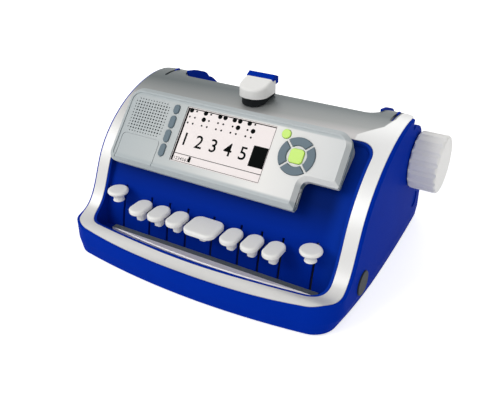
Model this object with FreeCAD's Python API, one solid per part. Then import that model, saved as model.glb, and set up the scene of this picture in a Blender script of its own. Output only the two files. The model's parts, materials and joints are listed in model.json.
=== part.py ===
import FreeCAD, Part
import math
import os

from FreeCAD import Vector, Placement, Rotation

# Braille writer with a screen: nine sprung keys in a well, a carriage behind a notched cover.
# Millimetres. X to the right, Y to the back, Z up. The origin is on the floor, under the middle.

# Body
body_depth = 250.0
body_width = 278.4
side_step = 3.3
base_step = 1.1
cover_height = 138.2
foot_height = 2.0
wall = 3.0
cover_thickness = 3.0
seat_gap = 0.2
overrun = 400.0
found_within = 1e-6
halvings = 40

# Plan of the casing: front and sides bow out between rounded corners
rim_bow_radius = 774.0
rim_corner_radius = 26.0
side_front_gap = 0.6
side_corner_radius = 28.0
side_bow_radius = 4000.0
side_waist_share = -0.08
side_rear_step = 3.4
base_front_gap = 1.6
base_bow_radius = 730.0
base_corner_radius = 22.0
base_side_radius = 720.0
base_waist_share = -0.04
base_rear_step = 3.6
rear_corner_radius = 8.0
bevel_drop = 2.4
bevel_first_drop = 0.9
bevel_first_share = 0.6
bevel_reach = 1.5
lip_sink = 0.3
ledge_width = 4.0
ledge_thickness = 2.5
bottom_thickness = 2.5
bottom_recess = 1.0

# Side profile of the cover and rim, as shares of the body depth and the cover height
rim_profile_shares = (
    (-0.476, 0.200), (-0.440, 0.230), (-0.392, 0.227), (-0.344, 0.252), (-0.280, 0.402), (-0.228, 0.597),
    (-0.144, 0.776), (-0.032, 0.910), (0.080, 0.980), (0.198, 1.000), (0.280, 0.971))
front_lip_share = (-0.4885, 0.196)
# Top edge of each side wall behind the cover: a notch and two lobes, as shares of the same two sizes
side_end_share = 0.212
side_notch_shares = ((0.202, 0.936), (0.209, 0.921), (0.232, 0.910))
side_lobe_shares = ((0.250, 0.920), (0.284, 0.901), (0.316, 0.868), (0.336, 0.832), (0.346, 0.790))
side_heel_shares = ((0.372, 0.724), (0.432, 0.640), (0.500, 0.593))
rear_wall_height = 78.0
skirt_height = 14.0

# Cover: a wide notch for the carriage, and an ear with a slot at each end
ear_inner_x = 110.0
notch_radius = 14.0
ear_inner_radius = 7.0
ear_outer_radius = 12.0
notch_share = 0.176
ear_end_share = 0.264
ear_slot_x = 124.2
ear_slot_width = 3.2
ear_slot_front_share = 0.146
ear_slot_length = 26.0

# Well with the keys
rim_width = 12.5
front_rim_width = 10.5
well_front_radius = 20.0
well_rear_radius = 15.0
well_top_share = 0.004
well_lip = 2.8
well_floor_z = 14.5
well_wall = 2.5
well_wall_shares = (
    (-0.3040, 0.105), (-0.2620, 0.390), (-0.2000, 0.593), (-0.1200, 0.753), (-0.0320, 0.868),
    (-0.0100, 0.902))
flange_width = 3.0
flange_thickness = 2.0
slot_top_z = 54.0
round_slot_top_z = 58.5
slot_gap = 0.4
slot_depth = 20.0
bar_rise = 3.7
bar_edge = 0.9
bar_half_width = 111.6
bar_sagitta = 8.3
bar_gap = 7.0
felt_rise = 2.4
felt_gap = 0.6

# Keys
key_row_share = -0.3356
key_top_z = 54.2
round_key_share = -0.3104
round_key_top_z = 60.7
key_places = (
    ("line_key", -103.5, "round"), ("dot_3_key", -71.6, "oval"), ("dot_2_key", -50.3, "oval"),
    ("dot_1_key", -29.15, "oval"), ("space_key", 0.0, "square"), ("dot_4_key", 29.15, "oval"),
    ("dot_5_key", 50.3, "oval"), ("dot_6_key", 71.6, "oval"), ("backspace_key", 103.5, "round"))
oval_length = 25.2
oval_width = 16.4
oval_round_share = 0.47
square_width = 32.4
square_depth = 28.6
square_corner = 8.0
cap_thickness = 5.6
cap_round = 1.9
stem_length = 8.6
stem_depth = 10.0
stem_width = 9.0
stem_taper_share = 0.84
stem_round_share = 0.35
round_cap_radius = 10.1
round_neck_radius = 5.6
round_cap_height = 11.8
round_head_height = 4.4
round_neck_hollow = 0.55
round_lever_rise = 0.8

# Key levers on one pivot shaft
pivot_shares = (0.12, 0.26)
shaft_radius = 3.0
running_gap = 0.05
lever_thickness = 1.6
lever_depth = 6.0
lever_tip = 2.5
lever_bend = 15.0
lever_hub_rise = 1.5
hub_radius = 7.0
tail_length = 14.0
spring_wire = 0.9
spring_turns = 4
spring_gap = 0.5
spring_pitch_gap = 0.6
spring_clearance = 1.7
spring_leg = 11.0

# Side frames, rails and carriage
frame_inner_x = 114.0
frame_thickness = 2.5
frame_shares = (
    (-0.048, 0.045), (0.440, 0.045), (0.440, 0.520), (0.304, 0.716), (0.184, 0.850), (0.040, 0.830),
    (-0.040, 0.620))
rail_radius = 4.0
rail_y_share = 0.188
upper_rail_share = 0.665
lower_rail_share = 0.515
carriage_width = 36.0
carriage_depth = 18.0
carriage_margin = 8.0
head_x = -7.5
handle_width = 29.6
handle_round_share = 0.88
handle_front_share = 0.036
handle_length = 28.0
handle_base_z = 142.6
handle_front_z = 151.2
handle_rear_z = 157.2
handle_edge = 2.6
nose_length = 6.0
nose_drop = 2.4
nose_rise = 3.0
arm_width = 28.4
arm_shoulder = 6.6
arm_shoulder_drop = 3.0
arm_leg_gap = 0.9
arm_leg_depth = 5.0
arm_leg_width = 15.0
arm_leg_drop = 3.4
arm_leg_shift = -2.0
head_skirt_inset = 2.2
head_skirt_reach = 4.0
head_skirt_gap = 1.0

# Paper feed
feed_shares = (0.292, 0.644)
feed_shaft_radius = 4.0
shaft_hole_gap = 2.0
roller_radius = 12.0
roller_half_length = 100.0
knob_radius = 28.0
knob_length = 27.0
knob_gap = 1.2
knob_grips = 18
knob_grip_radius = 2.8
knob_edge = 2.6
table_front_shares = (0.272, 0.803)
table_rear_shares = (0.486, 0.565)
table_thickness = 2.5
table_side_gap = 6.6
rest_half_width = 100.0
rest_thickness = 3.0
rest_lift = 1.6
rest_pin_radius = 2.5
rest_lug_width = 5.0
rest_lug_length = 10.0
rest_lug_slope = 1.5
rest_side_gap = 0.6
rest_length = 50.0
cheek_thickness = 2.2
cheek_gap = 0.3
cheek_reach = 2.4
cheek_front_share = 1.008
cheek_low_share = 0.930
cheek_lobe_shares = ((0.248, 0.998), (0.286, 0.981), (0.317, 0.959), (0.348, 0.935), (0.379, 0.881))
cheek_tail_shares = ((0.412, 0.849), (0.440, 0.803), (0.468, 0.756))

# Paper release
release_shares = (0.204, 0.405)
release_shaft_radius = 3.0
release_tab_length = 7.0
release_arm_width = 9.0
release_thickness = 2.0
release_tab_rise = 1.2
release_shoulder = 4.5
release_rest_share = 0.2330

# Rear grip pocket
grip_half_width = 46.0
grip_base_z = 30.0
grip_height = 26.0
grip_depth = 20.0
grip_wall = 2.0
grip_flange = 4.0
grip_corner = 10.0
grip_cut = 9.0

# Side plugs and recesses
plug_share = -0.211
plug_z = 23.5
plug_radius = 11.5
plug_shank_radius = 9.5
plug_rise = 1.4
plug_sink = 1.2
recess_share = 0.386
recess_z = 32.0
recess_radius = 9.0
recess_sink = 1.5

# Feet, screws and battery
foot_radius = 9.0
foot_edge = 0.5
foot_inset_x = 26.0
foot_inset_y = 30.0
screw_radius = 3.2
screw_head = 1.8
screw_inset = 13.0
screw_shares = (-0.3, 0.0, 0.3)
screw_shank_radius = 1.5
battery_width = 80.0
battery_depth = 44.0
battery_height = 17.0
battery_share = 0.31

# Display module, in its own tilted plane: x to the right, v up the slope, w out of the face
display_tilt = 49.3
display_y_share = -0.1672
display_z_share = 0.8474
display_x = -5.0
display_width = 234.0
display_above = 36.0
display_below = 41.0
display_notch_width = 32.3
display_notch_height = 28.0
display_corner_top_left = 15.0
display_corner_top_right = 14.0
display_corner_bottom = 9.0
display_corner_small = 2.0
notch_fillet = 6.0
face_rise = 1.6
face_sink = 0.7
border_chamfer = 4.0
border_ridge = 1.7
housing_depth = 9.0
housing_wall = 2.6
back_inset = 2.5
back_reach = 26.0
lcd_width = 95.04
lcd_height = 53.86
lcd_thickness = 2.6
lcd_gap = 0.15
board_thickness = 1.6
board_inset = 9.0
grille_x = -86.1
grille_v = 7.9
grille_pitch_x = 3.2
grille_pitch_v = 3.0
grille_columns = 13
grille_rows = 12
grille_hole_radius = 0.85
grille_edge_radius = 0.6
speaker_radius = 17.0
speaker_height = 4.0
soft_button_x = -58.2
soft_button_places = (21.4, 8.5, -5.6, -19.8)
soft_button_width = 6.0
soft_button_length = 12.4
soft_button_short = 9.0
button_rise = 1.5
button_gap = 0.3
button_travel = 0.8
button_flange = 0.6
button_flange_thickness = 1.0
button_edge = 0.7
pad_x = 73.5
pad_v = 4.9
pad_outer_radius = 17.0
pad_inner_radius = 9.6
pad_split = 2.4
pad_centre_size = 13.0
pad_centre_corner = 3.4
power_x = 58.0
power_v = 22.1
power_radius = 4.2
socket_v = -29.0
socket_length = 11.0
socket_width = 4.2
socket_sink = 3.0
socket_depth = 7.0
tongue_length = 7.4
jack_radius = 1.6
jack_spacing = 14.6
groove_length = 32.0
groove_width = 1.6
groove_sink = 1.0
plate_sink = 0.5
plate_width = 44.0
plate_height = 29.0
plate_corner = 4.0

lcd_corner = 0.8
window_corner = 1.0
slot_round_share = 0.49
cut_margin = 1.0

half_depth = body_depth / 2
rim_half = body_width / 2
side_half = rim_half + side_step
base_half = side_half - base_step


def at(shares):
    """A (y, z) place from shares of the body depth and the cover height."""
    return shares[0] * body_depth, shares[1] * cover_height


def solid_of(shape):
    """The one solid of a boolean result, or all of them as a compound."""
    if len(shape.Solids) == 1:
        return shape.Solids[0]
    return Part.makeCompound(shape.Solids)


def block(low, high):
    return Part.makeBox(high[0] - low[0], high[1] - low[1], high[2] - low[2], Vector(*low))


def rod(start, end, radius):
    direction = Vector(*end) - Vector(*start)
    return Part.makeCylinder(radius, direction.Length, Vector(*start), direction)


def mirrored(shape):
    return shape.mirror(Vector(0, 0, 0), Vector(1, 0, 0))


def curve_edge(points):
    """A smooth edge in a plane X = 0 through (y, z) points."""
    curve = Part.BSplineCurve()
    curve.interpolate([Vector(0, y, z) for y, z in points])
    return curve.toShape()


def offset_points(points, distance):
    """Points moved square to the line that they follow, below it where the distance is positive."""
    moved = []
    for index, (y, z) in enumerate(points):
        before = points[max(index - 1, 0)]
        after = points[min(index + 1, len(points) - 1)]
        run = after[0] - before[0]
        rise = after[1] - before[1]
        length = math.hypot(run, rise)
        moved.append((y + distance * rise / length, z - distance * run / length))
    return moved


def side_prism(edges, half_width):
    """A solid between -half_width and half_width whose section is the closed line of edges."""
    face = Part.Face(Part.Wire(Part.__sortEdges__(edges)))
    return translated(face.extrude(Vector(2 * half_width, 0, 0)), -half_width, 0, 0)


def line_edges(points):
    """Straight edges in the plane X = 0 through (y, z) points."""
    spots = [Vector(0, y, z) for y, z in points]
    return [Part.makeLine(a, b) for a, b in zip(spots, spots[1:])]


def polygon_prism(points, half_width):
    return side_prism(line_edges(list(points) + [points[0]]), half_width)


def translated(shape, x, y, z):
    moved = shape.copy()
    moved.translate(Vector(x, y, z))
    return moved


def rounded_wire(corners, z=0.0):
    """A closed wire in a plane of constant Z through (x, y, radius) corners."""
    count = len(corners)
    starts = []
    ends = []
    arcs = []
    for index, (x, y, radius) in enumerate(corners):
        here = Vector(x, y, z)
        before = Vector(corners[index - 1][0], corners[index - 1][1], z)
        after = Vector(corners[(index + 1) % count][0], corners[(index + 1) % count][1], z)
        back = (before - here).normalize()
        ahead = (after - here).normalize()
        if radius <= 0:
            starts.append(here)
            ends.append(here)
            arcs.append(None)
            continue
        half_angle = back.getAngle(ahead) / 2
        reach = radius / math.tan(half_angle)
        middle = here + (back + ahead).normalize() * (radius / math.sin(half_angle) - radius)
        starts.append(here + back * reach)
        ends.append(here + ahead * reach)
        arcs.append(Part.Arc(starts[-1], middle, ends[-1]).toShape())
    edges = []
    for index in range(count):
        if arcs[index] is not None:
            edges.append(arcs[index])
        following = starts[(index + 1) % count]
        if (following - ends[index]).Length > found_within:
            edges.append(Part.makeLine(ends[index], following))
    return Part.Wire(edges)


def plate(corners, low, high):
    """A plate with rounded corners between two heights."""
    return Part.Face(rounded_wire(corners, low)).extrude(Vector(0, 0, high - low))


def rectangle(x, y, width, depth, radius):
    return [
        (x - width / 2, y - depth / 2, radius), (x + width / 2, y - depth / 2, radius),
        (x + width / 2, y + depth / 2, radius), (x - width / 2, y + depth / 2, radius)]


def bow_centre(centre_a, reach_a, centre_b, reach_b):
    """The place on the right and in front at two distances from two centres."""
    line = centre_b - centre_a
    along = (reach_a ** 2 - reach_b ** 2 + line.dot(line)) / (2 * line.Length)
    aside = math.sqrt(reach_a ** 2 - along ** 2)
    unit = line / line.Length
    foot = centre_a + unit * along
    spots = [foot + Vector(-unit.y, unit.x, 0) * aside, foot - Vector(-unit.y, unit.x, 0) * aside]
    return max(spots, key=lambda spot: spot.x - spot.y)


def rear_bow(half, rear_step, waist_y):
    """Radius of a side's rear part, drawn in by a step on its way from the waist to the back."""
    return ((half_depth - waist_y) ** 2 + rear_step ** 2) / (2 * rear_step)


def casing_wire(form, inset, z):
    """A casing outline, drawn in by an inset: bowed front, round corners and bowed sides."""
    half, rear_step, front, bow, corner, side_bow, waist_y = form
    rear_radius = rear_bow(half, rear_step, waist_y)
    bow_middle = Vector(0, front + bow, z)
    front_middle = Vector(half - side_bow, waist_y, z)
    rear_middle = Vector(half - rear_radius, waist_y, z)
    corner_middle = bow_centre(bow_middle, bow - corner, front_middle, side_bow - corner)
    rear_y = half_depth - rear_corner_radius
    rear_reach = math.sqrt((rear_radius - rear_corner_radius) ** 2 - (rear_y - waist_y) ** 2)
    rear_corner_middle = Vector(rear_middle.x + rear_reach, rear_y, z)

    def on(centre, radius, *aims):
        """The place on a circle in the mean direction of some places."""
        way = Vector(0, 0, 0)
        for aim in aims:
            way += (aim - centre).normalize()
        return centre + way.normalize() * radius

    radius = corner - inset
    meet_front = corner_middle + (corner_middle - bow_middle).normalize() * radius
    meet_side = corner_middle + (corner_middle - front_middle).normalize() * radius
    waist = Vector(half - inset, waist_y, z)
    small = rear_corner_radius - inset
    meet_rear = rear_corner_middle + (rear_corner_middle - rear_middle).normalize() * small
    back = Vector(rear_corner_middle.x, half_depth - inset, z)
    arcs = [
        (meet_front, on(corner_middle, radius, meet_front, meet_side), meet_side),
        (meet_side, on(front_middle, side_bow - inset, meet_side, waist), waist),
        (waist, on(rear_middle, rear_radius - inset, waist, meet_rear), meet_rear),
        (meet_rear, on(rear_corner_middle, small, meet_rear, back), back)]

    def other(spot):
        return Vector(-spot.x, spot.y, spot.z)

    edges = [Part.Arc(other(meet_front), Vector(0, front + inset, z), meet_front).toShape()]
    edges += [Part.Arc(*spots).toShape() for spots in arcs]
    edges.append(Part.makeLine(back, other(back)))
    edges += [Part.Arc(other(c), other(b), other(a)).toShape() for a, b, c in reversed(arcs)]
    return Part.Wire(edges)


side_form = (
    side_half, side_rear_step, -half_depth + side_front_gap, rim_bow_radius, side_corner_radius,
    side_bow_radius, side_waist_share * body_depth)
base_form = (
    base_half, base_rear_step, -half_depth + base_front_gap, base_bow_radius, base_corner_radius,
    base_side_radius, base_waist_share * body_depth)


def side_x(y):
    """Half the width over the side walls at a depth."""
    waist_y = side_waist_share * body_depth
    radius = rear_bow(side_half, side_rear_step, waist_y) if y > waist_y else side_bow_radius
    return side_half - radius + math.sqrt(radius ** 2 - (y - waist_y) ** 2)


def plan_wire(half_width, front, bow_radius, corner_radius, back, z):
    """An outline with a bowed front, round front corners and straight sides."""
    bow_y = front + bow_radius
    corner_x = half_width - corner_radius
    corner_y = bow_y - math.sqrt((bow_radius - corner_radius) ** 2 - corner_x ** 2)
    lean = math.atan2(corner_x, bow_y - corner_y)
    meet = Vector(bow_radius * math.sin(lean), bow_y - bow_radius * math.cos(lean), z)
    half_lean = (math.pi / 2 + lean) / 2
    middle = Vector(
        corner_x + corner_radius * math.sin(half_lean), corner_y - corner_radius * math.cos(half_lean), z)
    side = Vector(half_width, corner_y, z)
    rear = Vector(half_width, back, z)

    def other(spot):
        return Vector(-spot.x, spot.y, spot.z)

    return Part.Wire([
        Part.Arc(other(meet), Vector(0, front, z), meet).toShape(),
        Part.Arc(meet, middle, side).toShape(),
        Part.makeLine(side, rear),
        Part.makeLine(rear, other(rear)),
        Part.makeLine(other(rear), other(side)),
        Part.Arc(other(side), other(middle), other(meet)).toShape()])


def rim_prism(expand):
    """A tall block over the silver cover's outline and a margin."""
    wire = plan_wire(
        rim_half + expand, rim_front - expand, rim_bow_radius + expand, rim_corner_radius + expand,
        half_depth, -overrun)
    return Part.Face(wire).extrude(Vector(0, 0, 2 * overrun))


def well_prism(expand):
    """A tall block over the opening in the cover and a margin, with all four corners round."""
    half = rim_half - rim_width + expand
    back = well_top_share * body_depth + expand
    front = rim_front + front_rim_width - expand
    wire = plan_wire(half, front, rim_bow_radius + expand, well_front_radius + expand, back, -overrun)
    prism = Part.Face(wire).extrude(Vector(0, 0, 2 * overrun))
    radius = well_rear_radius + expand
    for side in (-1, 1):
        middle = side * (half - radius)
        outside = side * (half + cut_margin)
        square = block(
            (min(middle, outside), back - radius, -overrun),
            (max(middle, outside), back + cut_margin, overrun))
        disc = Part.makeCylinder(radius, 2 * overrun, Vector(middle, back - radius, -overrun))
        prism = prism.cut(square.cut(disc))
    return prism


def curve_z(edge, y):
    """Height of a side curve at a depth."""
    low, high = edge.ParameterRange
    for _ in range(halvings):
        middle = (low + high) / 2
        if edge.valueAt(middle).y < y:
            low = middle
        else:
            high = middle
    return edge.valueAt(low).z


rim_points = [at(front_lip_share)] + [at(shares) for shares in rim_profile_shares]
under_points = offset_points(rim_points, cover_thickness)
rim_curve = curve_edge(rim_points)
under_curve = curve_edge(under_points)
side_end = side_end_share * body_depth
side_points = rim_points[:-1] + [(side_end, curve_z(rim_curve, side_end))]
rim_front = rim_points[0][0]
notch_y = notch_share * body_depth
ear_y = ear_end_share * body_depth


def below_curve(points, half_width):
    """Everything under a side curve and its level ends."""
    edge = curve_edge(points)
    first = points[0]
    last = points[-1]
    ends = line_edges([last, (last[0], -overrun), (first[0], -overrun), first])
    return side_prism([edge] + ends, half_width)


def make_top_cover():
    """Silver cover, side strips and front strip in one piece, with the well's opening in it."""
    ends = line_edges([rim_points[-1], under_points[-1]])
    ends += line_edges([rim_points[0], under_points[0]])
    cover = side_prism([rim_curve, under_curve] + ends, rim_half).common(rim_prism(0))
    notch_back = ear_y + overrun
    notch = plate([
        (-ear_inner_x, notch_back, 0), (-ear_inner_x, notch_y, notch_radius),
        (ear_inner_x, notch_y, notch_radius), (ear_inner_x, notch_back, 0)], 0, overrun)
    cover = cover.cut([well_prism(0), notch])
    slot_y = ear_slot_front_share * body_depth
    for side in (-1, 1):
        outer = side * rim_half
        inner = side * ear_inner_x
        tips = plate([
            (outer, ear_y, ear_outer_radius), (inner, ear_y, ear_inner_radius),
            (inner, 0, 0), (outer, 0, 0)], 0, overrun)
        shelf = block((min(outer, inner), 0, 0), (max(outer, inner), ear_y + 2 * wall, overrun))
        slot = plate(
            rectangle(side * ear_slot_x, slot_y + ear_slot_length / 2, ear_slot_width, ear_slot_length,
                      ear_slot_width * slot_round_share), 0, overrun)
        cover = cover.cut([shelf.cut(tips), slot])
    return solid_of(cover)


def shell_void():
    """The inside of the lower shell, from below the skirt to above the cover."""
    base = casing_wire(base_form, wall, foot_height)
    top = casing_wire(side_form, wall, skirt_height)
    skirt = Part.makeLoft([base, top], True, True)
    up = Part.Face(top).extrude(Vector(0, 0, overrun))
    down = Part.Face(base).extrude(Vector(0, 0, -overrun))
    return skirt.fuse([up, down])


def side_top_edges(start):
    """The side wall's edge behind the cover, from the bevel's rear end to the back."""
    notch = [at(shares) for shares in side_notch_shares]
    lobe = [notch[-1]] + [at(shares) for shares in side_lobe_shares]
    heel = [lobe[-1]] + [at(shares) for shares in side_heel_shares]
    return line_edges([start, notch[0]]) + [curve_edge(notch), curve_edge(lobe), curve_edge(heel)]


def side_profile(drop, x):
    """The side wall's outline in a plane of constant X, its top a drop below the cover's surface."""
    top = offset_points(side_points, drop)
    back = (half_depth, at(side_heel_shares[-1])[1])
    front = (-half_depth - wall, top[0][1])
    edges = [curve_edge(top)] + side_top_edges(top[-1])
    edges += line_edges([back, (half_depth, -overrun), (front[0], -overrun), front, top[0]])
    wire = Part.Wire(Part.__sortEdges__(edges))
    wire.translate(Vector(x, 0, 0))
    return wire


def below_bevel():
    """Everything under the blue top edge: level across the cover and rounded off outside it."""
    edge_x = rim_half + seat_gap
    first_x = edge_x + bevel_first_share * (side_half - edge_x)
    slope = (bevel_drop - bevel_first_drop) / (side_half - first_x)
    outer_x = side_half + bevel_reach
    outer_drop = bevel_first_drop + slope * (outer_x - first_x)
    middle = Part.Face(side_profile(lip_sink, -edge_x)).extrude(Vector(2 * edge_x, 0, 0))
    steps = [(edge_x, lip_sink), (first_x, bevel_first_drop), (outer_x, outer_drop)]
    sides = []
    for side in (-1, 1):
        for (near_x, near_drop), (far_x, far_drop) in zip(steps, steps[1:]):
            near = side_profile(near_drop, side * near_x)
            far = side_profile(far_drop, side * far_x)
            sides.append(Part.makeLoft([near, far], True, True))
    return middle.fuse(sides)


def make_ledges():
    """A narrow shelf along each side wall for the cover to lie on."""
    top = offset_points(rim_points, cover_thickness + 2 * seat_gap)
    low = offset_points(rim_points, cover_thickness + ledge_thickness)
    edges = [curve_edge(top), curve_edge(low)]
    edges += line_edges([top[0], low[0]]) + line_edges([top[-1], low[-1]])
    shelf = side_prism(edges, overrun).cut(rim_prism(-ledge_width))
    wall_outline = Part.Face(casing_wire(side_form, wall / 2, 0)).extrude(Vector(0, 0, overrun))
    before_notch = block((-overrun, -overrun, 0), (overrun, side_end - wall, overrun))
    return shelf.common(wall_outline).common(before_notch)


def make_lower_shell():
    """Blue casing: bowed skirt, both side walls and the back in one moulding."""
    base = casing_wire(base_form, 0, foot_height)
    top = casing_wire(side_form, 0, skirt_height)
    skirt = Part.makeLoft([base, top], True, True)
    upper = Part.Face(top).extrude(Vector(0, 0, overrun))
    body = skirt.fuse(upper)
    inside = rim_prism(seat_gap)
    seat = side_profile(cover_thickness + seat_gap, -side_half)
    under_cover = body.common(inside).common(Part.Face(seat).extrude(Vector(2 * side_half, 0, 0)))
    beside_cover = body.cut(inside).common(below_bevel())
    shell = under_cover.fuse(beside_cover).cut(shell_void()).fuse(make_ledges())
    rear_x = rim_half - rear_corner_radius
    rear_cut = block(
        (-rear_x, half_depth - 2 * wall, rear_wall_height), (rear_x, half_depth + wall, overrun))
    grip = translated(grip_plate(0), 0, half_depth - 2 * wall, 0)
    hole_radius = feed_shaft_radius + shaft_hole_gap
    shaft_hole = rod((-overrun, feed_y, feed_z), (overrun, feed_y, feed_z), hole_radius)
    shell = shell.cut([rear_cut, grip, shaft_hole])
    plug_y = plug_share * body_depth
    recess_y = recess_share * body_depth
    for side in (-1, 1):
        end = side * overrun
        seat = side * (side_x(plug_y) - plug_sink)
        floor = side * (side_x(recess_y) - recess_sink)
        shell = shell.cut([
            rod((0, plug_y, plug_z), (end, plug_y, plug_z), plug_shank_radius + running_gap),
            rod((seat, plug_y, plug_z), (end, plug_y, plug_z), plug_radius + running_gap),
            rod((floor, recess_y, recess_z), (end, recess_y, recess_z), recess_radius)])
    return solid_of(shell)


def grip_plate(margin):
    """A rounded block standing in the back wall, as large as the grip opening and a margin."""
    width = 2 * (grip_half_width + margin)
    height = grip_height + 2 * margin
    middle = grip_base_z + grip_height / 2
    slab = plate(rectangle(0, middle, width, height, grip_corner), 0, grip_cut)
    slab.rotate(Vector(0, 0, 0), Vector(1, 0, 0), 90)
    return translated(slab, 0, grip_cut, 0)


def well_air(expand):
    """The air in the well, or with expand the block that holds the well's walls as well."""
    points = offset_points([at(shares) for shares in well_wall_shares], expand)
    floor = well_floor_z - expand
    back = points[-1][0] + overrun
    edges = [curve_edge(points)]
    edges += line_edges([
        points[-1], (back, points[-1][1]), (back, overrun), (-overrun, overrun), (-overrun, floor),
        (points[0][0], floor), points[0]])
    return well_prism(expand - well_lip).common(side_prism(edges, overrun))


def make_well_panel():
    """Blue inner tray with a rim in the cover's opening, a flange under it and a slot for each lever."""
    air = well_air(0)
    tray = well_air(well_wall).cut(air).common(below_curve(offset_points(rim_points, lip_sink), overrun))
    high = below_curve(offset_points(rim_points, cover_thickness + seat_gap), overrun)
    low = below_curve(offset_points(rim_points, cover_thickness + seat_gap + flange_thickness), overrun)
    flange = high.cut(low).common(well_prism(flange_width)).cut(well_prism(-well_lip))
    tray = tray.fuse(flange)
    wall_y, _ = at(well_wall_shares[0])
    half = lever_thickness / 2 + slot_gap
    for _, x, kind in key_places:
        low = (x - half, wall_y - well_wall, well_floor_z)
        top = round_slot_top_z if kind == "round" else slot_top_z
        tray = tray.cut(block(low, (x + half, wall_y + slot_depth, top)))
    return solid_of(tray)


bar_y = at(well_wall_shares[0])[0] - bar_gap


def make_well_bar():
    """Silver bar on the well's floor: straight behind, bowed in front, pointed at both ends."""
    rear_left = Vector(-bar_half_width, bar_y, well_floor_z)
    rear_right = Vector(bar_half_width, bar_y, well_floor_z)
    apex = Vector(0, bar_y - bar_sagitta, well_floor_z)
    bow = Part.Arc(rear_left, apex, rear_right).toShape()
    outline = Part.Wire([bow, Part.makeLine(rear_right, rear_left)])
    bar = Part.Face(outline).extrude(Vector(0, 0, bar_rise))
    top = [edge for edge in bar.Edges if abs(edge.BoundBox.ZMin - well_floor_z - bar_rise) < found_within]
    return bar.makeChamfer(bar_edge, top)


def make_well_felt():
    """Dark strip between the bar and the slotted wall."""
    return block(
        (-bar_half_width - felt_gap, bar_y + seat_gap, well_floor_z),
        (bar_half_width + felt_gap, bar_y + bar_gap - felt_gap, well_floor_z + felt_rise))


screw_places = [
    (side * (base_half - screw_inset), share * body_depth) for side in (-1, 1) for share in screw_shares]


def make_bottom_plate():
    """Flat plate closing the skirt."""
    wire = casing_wire(base_form, wall + seat_gap, foot_height + bottom_recess)
    bottom = Part.Face(wire).extrude(Vector(0, 0, bottom_thickness))
    holes = [Part.makeCylinder(screw_shank_radius, overrun, Vector(x, y, 0)) for x, y in screw_places]
    return bottom.cut(holes)


def make_rubber_feet():
    feet = []
    for x in (-1, 1):
        for y in (-1, 1):
            foot = Part.makeCylinder(
                foot_radius, foot_height + bottom_recess,
                Vector(x * (base_half - foot_inset_x), y * (half_depth - foot_inset_y), 0))
            rim = [edge for edge in foot.Edges if edge.BoundBox.ZMax < found_within]
            feet.append(foot.makeChamfer(foot_edge, rim))
    return Part.makeCompound(feet)


def make_casing_screws():
    """Screws under the base, by the feet and midway."""
    screws = []
    base = foot_height + bottom_recess
    for x, y in screw_places:
        head = Part.makeCylinder(screw_radius, screw_head, Vector(x, y, base - screw_head))
        shank = Part.makeCylinder(screw_shank_radius, bottom_thickness, Vector(x, y, base))
        screws.append(head.fuse(shank).removeSplitter())
    return Part.makeCompound(screws)


def make_battery_pack():
    base = foot_height + bottom_recess + bottom_thickness
    y = battery_share * body_depth
    return plate(rectangle(0, y, battery_width, battery_depth, wall), base, base + battery_height)


def make_side_plugs():
    plugs = []
    y = plug_share * body_depth
    for side in (-1, 1):
        start = side * (side_x(y) - wall)
        seat = side * (side_x(y) - plug_sink)
        end = side * (side_x(y) + plug_rise)
        shank = rod((start, y, plug_z), (seat, y, plug_z), plug_shank_radius)
        disc = rod((seat, y, plug_z), (end, y, plug_z), plug_radius)
        rims = [edge for edge in disc.Edges if abs(abs(edge.BoundBox.Center.x) - abs(end)) < found_within]
        disc = disc.makeFillet(plug_rise / 2, rims)
        plugs.append(shank.fuse(disc).removeSplitter())
    return Part.makeCompound(plugs)


pivot_y, pivot_z = at(pivot_shares)
feed_y, feed_z = at(feed_shares)
release_y, release_z = at(release_shares)
rail_y = rail_y_share * body_depth
rail_heights = (upper_rail_share * cover_height, lower_rail_share * cover_height)


def make_side_frames():
    """Two plates that carry the shafts and the rails."""
    outline = polygon_prism([at(shares) for shares in frame_shares], frame_inner_x + frame_thickness)
    core = polygon_prism([at(shares) for shares in frame_shares], frame_inner_x)
    frames = outline.cut(core)
    holes = [
        (pivot_y, pivot_z, shaft_radius), (feed_y, feed_z, feed_shaft_radius),
        (release_y, release_z, release_shaft_radius)]
    holes += [(rail_y, z, rail_radius) for z in rail_heights]
    for y, z, radius in holes:
        frames = frames.cut(rod((-overrun, y, z), (overrun, y, z), radius + running_gap))
    return solid_of(frames)


def make_key_pivot_shaft():
    reach = frame_inner_x + frame_thickness
    return rod((-reach, pivot_y, pivot_z), (reach, pivot_y, pivot_z), shaft_radius)


def make_carriage_rails():
    reach = frame_inner_x + frame_thickness
    rails = [rod((-reach, rail_y, z), (reach, rail_y, z), rail_radius) for z in rail_heights]
    return Part.makeCompound(rails)


def helix_place(start, radius, pitch, turn):
    """Point and direction of a coil round the pivot shaft, from its lowest point at turn 0."""
    angle = 2 * math.pi * turn
    point = Vector(
        start + pitch * turn, pivot_y + radius * math.sin(angle), pivot_z - radius * math.cos(angle))
    direction = Vector(
        pitch, 2 * math.pi * radius * math.cos(angle), 2 * math.pi * radius * math.sin(angle))
    return point, direction.normalize()


def arc_towards(first, corner, last):
    """The arc from first to last whose end tangents meet at corner."""
    chord = last - first
    half_turn = (corner - first).getAngle(chord)
    foot = first + chord / 2
    middle = foot + (corner - foot) * (math.tan(half_turn / 2) / math.tan(half_turn))
    return Part.Arc(first, middle, last).toShape()


def two_arcs(first, along_first, last, along_last):
    """Two arcs that join two points smoothly, in their given directions."""
    span = last - first
    square = 2 * (1 - along_first.dot(along_last))
    linear = 2 * span.dot(along_first + along_last)
    reach = (math.sqrt(linear ** 2 + 4 * square * span.dot(span)) - linear) / (2 * square)
    near = first + along_first * reach
    far = last - along_last * reach
    joint = (near + far) / 2
    return [arc_towards(first, near, joint), arc_towards(joint, far, last)]


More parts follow.
